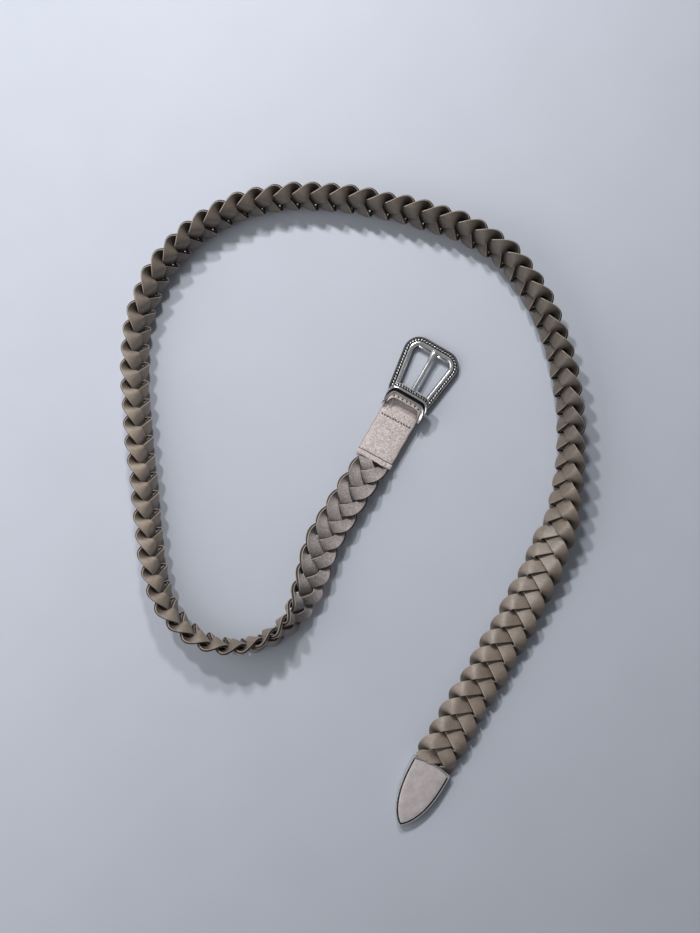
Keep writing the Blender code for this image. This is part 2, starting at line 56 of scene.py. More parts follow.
# Sizes shared with the solids, in metres, with the bar's middle over x = 0, y = 0
BAR_HEIGHT = 0.0035
BAR_POINT = Vector(frame["record"]["behaviour"]["joints"][0]["pos_m"])
SHIFT = BAR_POINT - Vector((0.0, 0.0, BAR_HEIGHT))
BAR_RADIUS = 0.0017
BRAID_LENGTH = 1.004
BRAID_PITCH = 0.0352
CAD_STRAND_WIDTH = 0.0074
CAD_STRAND_WALL = 0.0016
CAD_SWING = 0.0086
CAD_RISE = 0.0032
REST_POWER = 1.2
REST_FACE = 1.42
EDGE_ROLL = 0.70
FAN_LENGTH = 0.011
LAY_LENGTH = 0.006
LAY_CLEAR = 0.0015
PIECE_GAP = 0.0003
TAB_WIDTH = 0.0236
TAB_FOLD_WIDTH = 0.0162
TAB_LENGTH = 0.0485
TAB_WALL = 0.0015
TAB_HALF_GAP = 0.0011
TAB_FOLD_TAPER = 0.006
TAB_FOLD_START = 0.0042
TAB_TOP = BAR_HEIGHT + TAB_HALF_GAP + TAB_WALL
TAB_MARGIN = 0.0012
END_WIDTH = (TAB_WIDTH - TAB_MARGIN) / 3 - PIECE_GAP
END_SWING = (END_WIDTH + PIECE_GAP) / math.sin(math.radians(120))
FRAME_LENGTH = 0.0355
FRAME_FAR_WIDTH = 0.0396
FRAME_NEAR_WIDTH = 0.0292
FRAME_TAIL = 0.0032
FRAME_CORNER = 0.0072
RAIL_WIDTH = 0.0060
RAIL_HEIGHT = 0.0044
NOTCH_DEPTH = 0.0016
PRONG_LENGTH = 0.0318
KEEPER_WALL = 0.0013
KEEPER_RISE = 0.0066
KEEPER_BULGE = 4.5
KEEPER_HOOD = 0.0022
KEEPER_BAR_WALL = 0.0014
KEEPER_SETBACK = 0.0055
KEEPER_FOOT = 0.0090
KEEPER_CROWN = 0.0066
KEEPER_RELIEF = 0.0006
TIP_LENGTH = 0.0424
TIP_WIDTH = 0.0264
TIP_HEIGHT = 0.0050
TIP_BULGE = 0.0021
TIP_SHOULDER = 2.7
TIP_TAPER = 0.70
TIP_DEEP = 0.003

# Columns: share of the braid's length, turn in degrees, roll in degrees at the end, pitch share
STRETCHES = (
    (0.04, -3.6, 3.0, 1.08),
    (0.034, 14.9, 22.0, 1.06),
    (0.022, -2.5, 44.0, 1.02),
    (0.02, -21.7, 67.0, 1.0),
    (0.077, -96.2, 97.0, 0.99),
    (0.038, -31.3, 110.0, 0.99),
    (0.088, -4.2, 114.0, 0.99),
    (0.05, -10.2, 113.0, 0.99),
    (0.088, -51.2, 112.0, 0.985),
    (0.063, -32.8, 111.0, 0.985),
    (0.038, -10.2, 112.0, 0.985),
    (0.063, -12.6, 115.0, 0.99),
    (0.06, -36.6, 115.0, 0.99),
    (0.101, -33.1, 115.0, 1.0),
    (0.042, -9.6, 129.0, 1.0),
    (0.028, -10.4, 156.0, 1.03),
    (0.087, -9.2, 180.0, 1.08),
    (0.067, 1.6, 180.0, 1.08),
)

# How the plait is worn. Columns: share of the braid's length, share of its width,
# share of the strands' width
WORN_WIDTHS = (
    (0.00, 0.91, 0.86),
    (0.08, 0.94, 0.90),
    (0.14, 1.00, 1.00),
    (0.80, 1.02, 1.00),
    (0.88, 1.06, 1.02),
    (1.00, 1.13, 1.04),
)
# Painted light and shade along the braid's length. Columns: share of the braid's length, share of the usual
# colour
PAINTED_LIGHTING_TONES = (
    (0.00, 0.72),
    (0.13, 0.64),
    (0.20, 1.10),
    (0.24, 1.40),
    (0.34, 1.36),
    (0.42, 0.58),
    (0.55, 0.48),
    (0.62, 0.40),
    (0.70, 0.35),
    (0.77, 0.50),
    (0.85, 0.92),
    (1.00, 1.04),
)
# Upper bound of the painted light and shade above, as a share of the usual colour
PAINTED_LIGHTING_MOST = 1.50
# How far each strand swings out, as a share
STRAND_SWINGS = (1.05, 0.96, 1.00)
# How much painted shade darkens a strand at the plait's edges
EDGE_SHADE = 0.10
# The least height over the floor
FLOOR_GAP = 0.0001

# A strand's height as shares of its rise. Columns: share, number of the wave in one pitch
LIFT_WAVES = ((0.90, 2), (-0.08, 4))
TILT_WAVES = ((-0.40, 1), (-0.10, 3))

# A strap's section. Columns: share of the half width, share of the half wall, finish of the next face
STRAP_SECTION = (
    (-0.93, 1.00, 0),
    (-0.60, 1.06, 0),
    (-0.20, 1.10, 0),
    (0.20, 1.10, 0),
    (0.60, 1.06, 0),
    (0.93, 1.00, 1),
    (0.99, 0.66, 2),
    (0.99, -0.62, 1),
    (0.94, -1.00, 3),
    (0.50, -1.00, 3),
    (0.00, -1.00, 3),
    (-0.50, -1.00, 3),
    (-0.94, -1.00, 1),
    (-0.99, -0.62, 2),
    (-0.99, 0.66, 1),
)
STRAP_FINISHES = [row[2] for row in STRAP_SECTION]

# The rail's section, inner edge to outer edge; finish 2 is the silver darkened as painted shade.
# Columns: share of the width, share of the height, finish of the next face
RAIL_SECTION = (
    (-0.50, -0.46, 2),
    (-0.50, 0.16, 2),
    (-0.475, 0.34, 0),
    (-0.42, 0.45, 0),
    (-0.34, 0.52, 0),
    (-0.24, 0.56, 0),
    (-0.12, 0.555, 0),
    (-0.06, 0.52, 0),
    (-0.03, 0.42, 1),
    (-0.01, 0.15, 1),
    (0.30, 0.13, 1),
    (0.325, 0.34, 0),
    (0.345, 0.39, 0),
    (0.375, 0.40, 2),
    (0.43, 0.34, 2),
    (0.475, 0.22, 2),
    (0.50, 0.08, 2),
    (0.50, -0.42, 2),
    (0.46, -0.50, 2),
    (-0.46, -0.50, 2),
)

# The keeper's crown, front to back. Columns: share of the length, share of the relief, finish
CROWN_SECTION = (
    (0.00, -0.3, 0),
    (0.02, 0.7, 0),
    (0.05, 1.0, 0),
    (0.10, 1.0, 0),
    (0.13, 0.5, 1),
    (0.15, -0.5, 1),
    (0.34, -0.5, 1),
    (0.37, 0.7, 0),
    (0.42, 1.4, 0),
    (0.49, 1.8, 0),
    (0.56, 1.8, 0),
    (0.60, 1.3, 0),
    (0.62, 0.4, 1),
    (0.64, -0.9, 1),
    (0.90, -0.9, 1),
    (0.92, 0.5, 0),
    (0.96, 0.7, 0),
    (1.00, 0.2, 0),
)

# The prong. Columns: share of its length, share of its drop, half width, half height, in metres
PRONG_COURSE = (
    (0.00, 0.00, 0.00145, 0.00135),
    (0.15, 0.06, 0.00150, 0.00135),
    (0.45, 0.35, 0.00150, 0.00135),
    (0.70, 0.66, 0.00155, 0.00135),
    (0.80, 0.78, 0.00180, 0.00150),
    (0.86, 0.85, 0.00205, 0.00160),
    (0.91, 0.90, 0.00200, 0.00160),
    (0.95, 0.94, 0.00140, 0.00140),
    (0.98, 0.98, 0.00080, 0.00105),
    (1.00, 1.00, 0.00015, 0.00040),
)

# The tip's face, rim to middle; finish 2 is the side's silver darkened as painted shade. Columns: inset in
# metres, share of the height, finish
TIP_SECTION = (
    (0.00060, 0.00, 2),
    (0.00010, 0.10, 2),
    (0.00000, 0.55, 0),
    (0.00000, 0.84, 0),
    (0.00012, 0.95, 0),
    (0.00035, 1.00, 0),
    (0.00085, 1.00, 0),
    (0.00095, 0.96, 1),
    (0.00105, 0.78, 1),
    (0.00160, 0.78, 1),
    (0.00172, 0.93, 3),
    (0.00205, 0.96, 3),
    (0.00400, 0.975, 3),
    (0.00800, 1.00, 3),
)

# A twisted rope: its sides, how thin it is between its strands, and how much they bulge
ROPE_SIDES = 12
ROPE_WAIST = 0.74
ROPE_SWELL = 0.34
ROPE_GAP = 0.70

# One stitch. Columns: share of the half length, share of the radius
STITCH_COURSE = ((-1.0, 0.25), (-0.8, 0.8), (0.0, 1.0), (0.8, 0.8), (1.0, 0.25))
STITCH_LINE = -0.0193
STITCH_HALF = 0.00078
STITCH_RADIUS = 0.00045

VIEW_TURN = math.radians(30.0)
VIEW_MIDDLE = Vector((-0.0104, -0.0588))

# The lamps. Columns: name, compass angle from the view's right and height in degrees,
# distance and size in metres, power in watts
LAMPS = (
    ("window_light", 119.0, 45.0, 1.50, 0.08, 8.8),
    ("ceiling_light", 95.0, 45.0, 0.87, 0.08, 3.2),
    ("room_light", 186.0, 36.0, 0.72, 0.70, 2.6),
)


def length(name, text, default, low, high):
    """Return a length for the panel."""
    return FloatProperty(name=name, description=text, default=default, min=low, max=high, unit="LENGTH")


def tint(name, text, default):
    """Return a colour for the panel."""
    return FloatVectorProperty(name=name, description=text, default=default, subtype="COLOR")


class BraidSizes(bpy.types.PropertyGroup):
    """Sizes and colours of the plaited strands."""

    width: length("Strand width", "Width of one leather strand", 0.0089, 0.004, 0.012)
    wall: length("Strand thickness", "Thickness of the leather", 0.0021, 0.0008, 0.003)
    rise: length("Rise", "How far a strand rises over the ones it crosses", 0.0031, 0.001, 0.004)
    bow: length("Bow", "How far a strand's face bows out at the plait's edges", 0.0006, 0.0, 0.002)
    early: length("Reach", "How far the plait reaches into the tab and the tip", 0.0150, 0.0, 0.02)
    climb: length("Climb", "How early the strands rise at both ends", 0.0035, 0.0, 0.01)
    settle: length("Lift", "Extra height that the thicker leather needs", 0.0007, 0.0, 0.003)
    crown: FloatProperty(name="Crown", description="How much a strand's edges bow down",
                         default=0.10, min=0.0, max=0.5, subtype="FACTOR")
    stations: IntProperty(name="Stations", description="Cross sections in one pitch of the plait",
                          default=44, min=12, max=80)
    grain: tint("Grain side", "Colour of the smooth side", (0.225, 0.180, 0.145))
    edge: tint("Cut edge", "Colour of the cut edge", (0.040, 0.032, 0.027))
    arris: tint("Edge line", "Colour of the edge's pale corners", (0.40, 0.335, 0.28))


class SuedeSizes(bpy.types.PropertyGroup):
    """Colours of the suede and of its thread."""

    suede: tint("Suede", "Colour of the brushed side", (0.45, 0.395, 0.385))
    thread: tint("Thread", "Colour of the stitches", (0.045, 0.038, 0.038))
    stitches: IntProperty(name="Stitches", description="Stitches across the tab",
                          default=11, min=4, max=20)
    band: length("Band width", "Width of the band at the tab's mouth", 0.0030, 0.001, 0.006)


class MetalSizes(bpy.types.PropertyGroup):
    """Colours of the cast metal."""

    silver: tint("Silver", "Colour of the polished parts", (0.82, 0.82, 0.83))
    black: tint("Blackening", "Colour left in the hollows", (0.007, 0.007, 0.008))
    face: tint("Tip face", "Colour of the tip's satin face", (0.66, 0.59, 0.595))


class StageSizes(bpy.types.PropertyGroup):
    """Floor, light and camera."""

    floor: tint("Floor", "Colour of the floor", (0.500, 0.530, 0.600))
    camera_height: length("Camera height", "Height over the floor", 0.74, 0.3, 3.0)
    view_height: length("View height", "Length of floor seen in the view", 0.592, 0.2, 2.0)


def ease(share):
    """Smooth step from 0 to 1."""
    share = np.clip(share, 0.0, 1.0)
    return share * share * (3.0 - 2.0 * share)


def circle(count):
    """Angles evenly spaced round a circle."""
    return np.arange(count) * math.tau / count


def travelled(line):
    """Length along a line of points from its start to each of them."""
    return np.concatenate([[0.0], np.cumsum(np.linalg.norm(np.diff(line, axis=0), axis=1))])


def read_line(line, lengths, place):
    """Columns of a line read at other lengths along it."""
    return np.stack([np.interp(place, lengths, column) for column in line.T], axis=-1)


def sheet(*columns):
    """Points of a sheet from its x, y and z."""
    return np.stack(np.broadcast_arrays(*columns), axis=-1)


def toned(colour, share):
    """A colour made lighter or darker."""
    return tuple(channel * share for channel in colour)


def add_object(name, data):
    """Link a new object to the scene."""
    item = bpy.data.objects.new(name, data)
    bpy.context.scene.collection.objects.link(item)
    return item


class Paint:
    """A material under construction, with short calls for its nodes."""

    def __init__(self, name, colour, roughness, metallic=0.0, specular=0.5):
        self.material = bpy.data.materials.new(name)
        self.material.use_nodes = True
        self.tree = self.material.node_tree
        self.shader = self.tree.nodes["Principled BSDF"]
        self.shader.inputs["Base Color"].default_value = (*colour, 1.0)
        self.shader.inputs["Roughness"].default_value = roughness
        self.shader.inputs["Metallic"].default_value = metallic
        self.shader.inputs["Specular IOR Level"].default_value = specular
        self.place = self.tree.nodes.new("ShaderNodeTexCoord").outputs["Object"]

    def add(self, kind, source=None, socket="Vector", **values):
        """Add a node with its values, fed by a source."""
        node = self.tree.nodes.new(f"ShaderNode{kind}")
        for name, value in values.items():
            node.inputs[name.replace("_", " ")].default_value = value
        if source is not None:
            self.tree.links.new(source, node.inputs[socket])
        return node

    def noise(self, size, detail=3.0, roughness=0.6, stretch=None):
        """Return a noise whose features are about as large as size."""
        place = self.place
        if stretch is not None:
            place = self.add("Mapping", place, Scale=stretch).outputs["Vector"]
        node = self.add("TexNoise", place, Scale=1.0 / size, Detail=detail, Roughness=roughness)
        return node.outputs["Fac"]

    def cells(self, size):
        """Return the distance to the edges of small cells."""
        node = self.add("TexVoronoi", self.place, Scale=1.0 / size)
        node.feature = "DISTANCE_TO_EDGE"
        return node.outputs["Distance"]

    def ramp(self, source, stops):
        """Return a grey read from stops of (place, grey)."""
        node = self.add("ValToRGB", source, "Fac")
        points = node.color_ramp.elements
        while len(points) < len(stops):
            points.new(0.5)
        for point, (place, grey) in zip(points, stops):
            point.position = place
            point.color = (grey, grey, grey, 1.0)
        return node.outputs["Color"]

    def multiply(self, first, second):
        """Return two colours multiplied."""
        node = self.add("Mix")
        node.data_type = "RGBA"
        node.blend_type = "MULTIPLY"
        node.inputs["Factor"].default_value = 1.0
        colours = [socket for socket in node.inputs if socket.type == "RGBA"]
        for socket, value in zip(colours, (first, second)):
            if isinstance(value, bpy.types.NodeSocket):
                self.tree.links.new(value, socket)
            else:
                socket.default_value = (*value[:3], 1.0)
        return next(socket for socket in node.outputs if socket.type == "RGBA")

    def mottle(self, colour, *layers):
        """Return a colour under layers of (size, detail, roughness, stops)."""
        for size, detail, roughness, stops in layers:
            colour = self.multiply(colour, self.ramp(self.noise(size, detail, roughness), stops))
        return colour

    def painted_shade(self, colour):
        """Paint shade where a strand dives under another one, a little light on its crests, and painted
        light and shade along the braid's length.
        """
        for name, stops in (("painted_shade", ((0.0, 0.20), (0.30, 0.46), (0.52, 0.88), (0.80, 1.08))),
                            ("painted_lighting", ((0.0, 0.0), (1.0, PAINTED_LIGHTING_MOST)))):
            node = self.add("Attribute")
            node.attribute_name = name
            colour = self.multiply(colour, self.ramp(node.outputs["Fac"], stops))
        return colour

    def hollow(self, tarnish):
        """Return a grey that is dark in hollows and light on ridges."""
        ridges = self.ramp(self.add("NewGeometry").outputs["Pointiness"], ((0.40, 0.0), (0.54, 1.0)))
        return self.ramp(ridges, ((0.0, tarnish), (1.0, 1.0)))

    def colour(self, source):
        """Drive the base colour."""
        self.tree.links.new(source, self.shader.inputs["Base Color"])

    def roughness(self, source, low, high):
        """Drive the roughness between two values."""
        node = self.add("MapRange", source, "Value", To_Min=low, To_Max=high)
        self.tree.links.new(node.outputs["Result"], self.shader.inputs["Roughness"])

    def bump(self, source, depth, strength=1.0):
        """Add a bump on top of the ones before it."""
        node = self.add("Bump", source, "Height", Distance=depth, Strength=strength)
        socket = self.shader.inputs["Normal"]
        if socket.is_linked:
            self.tree.links.new(socket.links[0].from_socket, node.inputs["Normal"])
        self.tree.links.new(node.outputs["Normal"], socket)


def grain_leather(colour):
    """Smooth satin leather with fine pores and uneven tone, with painted shade in its creases and painted
    light and shade along the braid.
    """
    paint = Paint("grain_leather", colour, 0.40, specular=0.60)
    paint.colour(paint.painted_shade(paint.mottle(colour, (0.012, 3.0, 0.6, ((0.30, 0.80), (0.70, 1.18))),
                                           (0.0012, 4.0, 0.6, ((0.30, 0.88), (0.70, 1.10))))))
    paint.roughness(paint.noise(0.004, 3.0), 0.30, 0.48)
    paint.bump(paint.ramp(paint.cells(0.00055), ((0.0, 0.0), (0.22, 1.0))), 0.00003)
    paint.bump(paint.noise(0.0022, 4.0), 0.00016, 0.7)
    return paint.material


def suede(name, colour, plaited=False):
    """Brushed suede with a mottled nap."""
    paint = Paint(name, colour, 0.95, specular=0.15)
    paint.shader.inputs["Sheen Weight"].default_value = 0.25
    paint.shader.inputs["Sheen Roughness"].default_value = 0.6
    tone = paint.mottle(colour, (0.0009, 6.0, 0.90, ((0.38, 0.42), (0.50, 1.00), (0.62, 1.42))),
                        (0.0016, 4.0, 0.65, ((0.34, 0.84), (0.66, 1.12))),
                        (0.0070, 4.0, 0.6, ((0.32, 0.92), (0.68, 1.06))))
    # Plaited suede gets painted shade in its creases and painted light and shade along the braid.
    paint.colour(paint.painted_shade(tone) if plaited else tone)
    paint.bump(paint.noise(0.00035, 5.0, 0.8), 0.00016)
    paint.bump(paint.noise(0.0014, 4.0), 0.00022, 0.7)
    return paint.material


def fibre(name, colour, roughness=0.85):
    """Raw fibres of a cut edge or a thread."""
    paint = Paint(name, colour, roughness)
    paint.colour(paint.mottle(colour, (0.0006, 4.0, 0.6, ((0.3, 0.65), (0.7, 1.25)))))
    paint.bump(paint.noise(0.0003, 4.0), 0.0001)
    return paint.material


def polished(name, colour, low=0.12, high=0.26, tarnish=0.55):
    """Cast plated metal, worn bright on its ridges and tarnished in its hollows."""
    paint = Paint(name, colour, 0.20, 0.85)
    worn = paint.mottle(colour, (0.003, 4.0, 0.6, ((0.30, 0.78), (0.70, 1.05))))
    paint.colour(paint.multiply(worn, paint.hollow(tarnish)))
    paint.roughness(paint.noise(0.0016, 4.0), low, high)
    paint.bump(paint.noise(0.0011, 3.0), 0.00004, 0.6)
    return paint.material


def blackened(name, colour):
    """Blackened metal left in the hollows."""
    paint = Paint(name, colour, 0.7, specular=0.10)
    paint.colour(paint.mottle(colour, (0.0008, 4.0, 0.6, ((0.35, 0.5), (0.7, 2.2)))))
    paint.bump(paint.noise(0.0005, 3.0), 0.00006)
    return paint.material


def satin_face(colour):
    """Satin plate with soft clouds and fine scratches."""
    paint = Paint("satin_plate", colour, 0.38, 0.30)
    paint.colour(paint.mottle(colour, (0.006, 4.0, 0.6, ((0.30, 0.84), (0.70, 1.10))),
                              (0.0007, 5.0, 0.7, ((0.34, 0.86), (0.66, 1.06)))))
    paint.roughness(paint.noise(0.002, 4.0), 0.32, 0.46)
    paint.bump(paint.noise(0.0012, 4.0), 0.00005, 0.6)
    paint.bump(paint.noise(0.0007, 2.0, 0.5, (0.25, 3.0, 1.0)), 0.000012)
    return paint.material


def shell_mesh(name, rings, finishes, materials, closed=False):
    """Return an object lofted through equal rings of points, each face with its finish."""
    rings = np.asarray(rings) + np.array(SHIFT)
    rings[..., 2] = np.maximum(rings[..., 2], FLOOR_GAP)
    count, around = rings.shape[:2]
    last = count if closed else count - 1
    rows = np.arange(last)[:, None]
    cols = np.arange(around)[None, :]
    following = (rows + 1) % count
    beside = (cols + 1) % around
    quads = np.stack([rows * around + cols, rows * around + beside,
                      following * around + beside, following * around + cols], axis=-1)
    faces = quads.reshape(-1, 4).tolist()
    marks = np.broadcast_to(np.asarray(finishes), (last, around)).reshape(-1).tolist()
    if not closed:
        faces.append(list(range(around))[::-1])
        faces.append(list(range((count - 1) * around, count * around)))
        marks += [marks[0], marks[-1]]
    mesh = bpy.data.meshes.new(name)
    mesh.from_pydata(rings.reshape(-1, 3).tolist(), [], faces)
    for material in materials:
        mesh.materials.append(material)
    mesh.polygons.foreach_set("material_index", marks)
    mesh.validate()
    mesh.update()
    bm = bmesh.new()
    bm.from_mesh(mesh)
    bmesh.ops.recalc_face_normals(bm, faces=bm.faces)
    bm.to_mesh(mesh)
    bm.free()
    mesh.shade_smooth()
    mesh.set_sharp_from_angle(angle=math.radians(40.0))
    return add_object(name, mesh)


def dress(piece, body, slot, *nodes):
    """Make a piece ride on its body and stand for CAD nodes; its slot is not used."""
    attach(piece, body)
    if nodes:
        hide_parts(*nodes)
    return piece


class Course:
    """The braid's way over the floor, read at any length along it."""

    def __init__(self):
        total = sum(row[0] for row in STRETCHES)
        self.ends = np.concatenate([[0.0], np.cumsum([row[0] for row in STRETCHES])])
        self.ends *= BRAID_LENGTH / total
        self.turns = -90.0 + np.concatenate([[0.0], np.cumsum([row[1] for row in STRETCHES])])
        self.rolls = np.array([0.0] + [row[2] for row in STRETCHES])
        self.shares = np.array([STRETCHES[0][3]] + [row[3] for row in STRETCHES])
        steps = 1000
        stride = BRAID_LENGTH / steps
        middles = (np.arange(steps) + 0.5) * stride
        heading = np.radians(self.between(self.turns, middles))
        self.along = np.arange(steps + 1) * stride
        self.x = np.concatenate([[0.0], np.cumsum(np.cos(heading) * stride)])
        self.y = -TAB_LENGTH + np.concatenate([[0.0], np.cumsum(np.sin(heading) * stride)])
        gained = stride * self.plaiting(middles) / self.between(self.shares, middles)
        wound = np.concatenate([[0.0], np.cumsum(gained)])
        thirds = max(round(wound[-1] / BRAID_PITCH * 3), 3)
        self.pitch = wound[-1] / (thirds / 3)
        gained = stride / self.between(self.shares, middles)
        self.wound = np.concatenate([[0.0], np.cumsum(gained)])
        self.wound += wound[steps // 2] - self.wound[steps // 2]

    def between(self, values, along):
        """Read a column on a smooth curve through its rows."""
        along = np.clip(along, 0.0, BRAID_LENGTH)
        row = np.clip(np.searchsorted(self.ends, along, side="left") - 1, 0, len(self.ends) - 2)
        slopes = np.zeros(len(values))
        slopes[1:-1] = (values[2:] - values[:-2]) / (self.ends[2:] - self.ends[:-2])
        span = self.ends[row + 1] - self.ends[row]
        s = (along - self.ends[row]) / span
        return ((2 * s ** 3 - 3 * s ** 2 + 1) * values[row] + (s ** 3 - 2 * s ** 2 + s) * slopes[row] * span
                + (3 * s ** 2 - 2 * s ** 3) * values[row + 1] + (s ** 3 - s ** 2) * slopes[row + 1] * span)

    def plaiting(self, along, early=0.0):
        """1 where the strands are plaited, 0 where they lie side by side."""
        start = along - LAY_LENGTH + early
        finish = BRAID_LENGTH - TIP_BULGE - LAY_LENGTH + early - along
        return ease(start / FAN_LENGTH) * ease(finish / FAN_LENGTH)

    def rising(self, along, early=0.0):
        """1 where the strands cross, 0 inside the tab and the tip."""
        start = along - LAY_CLEAR + early
        finish = BRAID_LENGTH - TIP_BULGE - 2 * LAY_CLEAR + early - along
        return ease(start / LAY_LENGTH) * ease(finish / LAY_LENGTH)

    def height(self, along):
        """Height of the braid's middle over the floor."""
        roll = np.radians(self.between(self.rolls, along))
        half_width = CAD_SWING + CAD_STRAND_WIDTH / 2 * math.cos(EDGE_ROLL)
        half_wall = CAD_RISE * REST_FACE + CAD_STRAND_WALL / 2
        edge = (half_width * np.abs(np.sin(roll))) ** REST_POWER
        face = (half_wall * np.abs(np.cos(roll))) ** REST_POWER
        free = (edge + face) ** (1.0 / REST_POWER)
        seat = np.where(along < BRAID_LENGTH / 2, BAR_HEIGHT, TIP_HEIGHT / 2)
        return seat + (free - seat) * self.rising(along)

    def frame(self, along):
        """Middle point, direction, width direction and grain direction at each length."""
        heading = np.radians(self.between(self.turns, along))
        roll = np.radians(self.between(self.rolls, along))
        zero = np.zeros_like(heading)
        ahead = np.stack([np.cos(heading), np.sin(heading), zero], axis=-1)
        inward = np.stack([np.sin(heading), -np.cos(heading), zero], axis=-1)
        grain = inward * np.sin(roll)[..., None]
        grain = grain - np.stack([zero, zero, np.cos(roll)], axis=-1)
        inside = np.clip(along, 0.0, BRAID_LENGTH)
        middle = np.stack([np.interp(inside, self.along, self.x), np.interp(inside, self.along, self.y),
                           self.height(along)], axis=-1)
        middle = middle + ahead * (along - inside)[..., None]
        return middle, ahead, np.cross(grain, ahead), grain


def strand_sheet(course, strand, along, side, sizes, wobble):
    """Points of one strand's middle sheet at lengths along it and shares across it."""
    inside = np.clip(along, 0.0, BRAID_LENGTH)
    phase = math.tau * np.interp(inside, course.along, course.wound) / course.pitch
    phase = phase + strand * math.tau / 3
    spread = course.plaiting(along, sizes.early)
    lift = course.rising(along, sizes.climb)
    place = phase / math.pi
    uneven = [np.interp(place, np.arange(len(row)), 1.0 + row) for row in wobble]
    table = np.array(WORN_WIDTHS)
    worn, strap = [np.interp(along / BRAID_LENGTH, table[:, 0], table[:, k]) for k in (1, 2)]
    swing = CAD_SWING * worn * uneven[0] * STRAND_SWINGS[strand]
    swing = END_SWING + (swing - END_SWING) * spread
    half = (END_WIDTH + (sizes.width * strap * uneven[1] - END_WIDTH) * spread) / 2
    rate = math.tau / course.pitch * spread / course.between(course.shares, along)
    lean = np.arctan(swing * rate * np.cos(phase))
    outward = np.sin(phase) ** 3 * spread
    roll = EDGE_ROLL * outward
    flat = side * half * np.cos(roll)
    sideways = swing * np.sin(phase) + flat * np.cos(lean) + sizes.bow * (1.0 - side * side) * outward
    forward = along - flat * np.sin(lean)
    rise = sum(share * np.sin(wave * phase) for share, wave in LIFT_WAVES)
    rise = rise + side * sum(share * np.cos(wave * phase) for share, wave in TILT_WAVES)
    rise = rise - sizes.crown * side * side * np.sin(2 * phase)
    # Painted shade: darker where the strand dives under another one and towards the plait's edges
    shade = rise - EDGE_SHADE * outward * outward
    rise = rise * uneven[2] * sizes.rise * lift - side * half * np.sin(roll)
    middle, ahead, across, grain = course.frame(forward)
    middle = middle + np.array([0.0, 0.0, sizes.settle]) * lift[..., None]
    return middle + across * sideways[..., None] + grain * rise[..., None], shade


def painted_shade_levels(shade):
    """Painted shade at each point of the strap's section, from 0, darkest where a strand dives under, to 1
    on a crest.
    """
    sides = np.linspace(-1.0, 1.0, shade.shape[1])
    columns = []
    for share, lift, _ in STRAP_SECTION:
        level = np.array([np.interp(share, sides, row) for row in shade])
        columns.append(0.5 + 0.5 * level * math.copysign(1.0, lift))
    return np.stack(columns, axis=1)


def strap(name, points, ahead_step, wall, materials, finishes=STRAP_FINISHES):
    """Return a strap lofted round a sheet of points (station, side)."""
    sides = np.linspace(-1.0, 1.0, points.shape[1])
    along = np.gradient(points, axis=0)
    across = np.gradient(points, axis=1)
    normal = np.cross(across, along) * ahead_step
    normal /= np.maximum(np.linalg.norm(normal, axis=-1, keepdims=True), 1e-12)
    rings = []
    for share, lift, _ in STRAP_SECTION:
        place = (share + 1.0) / 2.0 * (len(sides) - 1)
        low = min(int(place), len(sides) - 2)
        part = place - low
        spot = points[:, low] * (1 - part) + points[:, low + 1] * part
        facing = normal[:, low] * (1 - part) + normal[:, low + 1] * part
        facing /= np.linalg.norm(facing, axis=-1, keepdims=True)
        rings.append(spot + facing * lift * wall / 2)
    return shell_mesh(name, np.stack(rings, axis=1), finishes, materials)


class BELT_OT_strands(bpy.types.Operator):
    """Plait the three leather strands"""

    bl_idname = "belt.strands"
    bl_label = "Strands"

    def execute(self, context):
        sizes = context.scene.belt_braid
        course = Course()
        materials = [
            grain_leather(sizes.grain),
            fibre("edge_line", sizes.arris),
            fibre("cut_edge", sizes.edge),
            suede("strand_suede", context.scene.belt_suede.suede, plaited=True),
        ]
        start = -0.0014
        finish = BRAID_LENGTH - 0.0004
        count = int((finish - start) / course.pitch * sizes.stations)
        along = np.linspace(start, finish, count)[:, None]
        side = np.linspace(-1.0, 1.0, 7)[None, :]
        along, side = np.broadcast_arrays(along, side)
        # Painted light and shade along the braid's length
        tones = np.array(PAINTED_LIGHTING_TONES)
        painted_lighting = np.interp(along[:, 0] / BRAID_LENGTH, tones[:, 0], tones[:, 1]) / PAINTED_LIGHTING_MOST
        for strand in range(3):
            chance = np.random.default_rng(11 + strand)
            wobble = chance.normal(0.0, 1.0, (3, 90)) * np.array([[0.030], [0.045], [0.050]])
            wobble = np.clip(wobble, -0.08, 0.08)
            points, shade = strand_sheet(course, strand, along, side, sizes, wobble)
            piece = strap(f"strand_{strand + 1}_leather", points, -1.0, sizes.wall, materials)
            # Store the painted shade of the creases and the painted light and shade along the length on the
            # strand
            levels = (("painted_shade", painted_shade_levels(shade)), ("painted_lighting", np.repeat(painted_lighting, len(STRAP_SECTION))))
            for label, level in levels:
                values = piece.data.attributes.new(label, "FLOAT", "POINT").data
                values.foreach_set("value", level.ravel())
            dress(piece, "strap", "strand_leather", f"strand_{strand + 1}")
        return {"FINISHED"}


def tab_line(step):
    """Side view of the tab's middle sheet, from the lower end round the bar and back on top."""
    bend = BAR_RADIUS + PIECE_GAP + TAB_WALL / 2
    flat = TAB_HALF_GAP + TAB_WALL / 2
    far = 0.0050
    count = int((TAB_LENGTH - far) / step)
    back = np.linspace(-TAB_LENGTH, -far, count)
    lower = [(y, -flat) for y in back]
    angles = np.radians(np.linspace(-90, 90, 13))
    fold = [(bend * math.cos(a), bend * math.sin(a)) for a in angles]
    upper = [(y, flat) for y in back[::-1]]
    return np.array(lower + fold + upper)


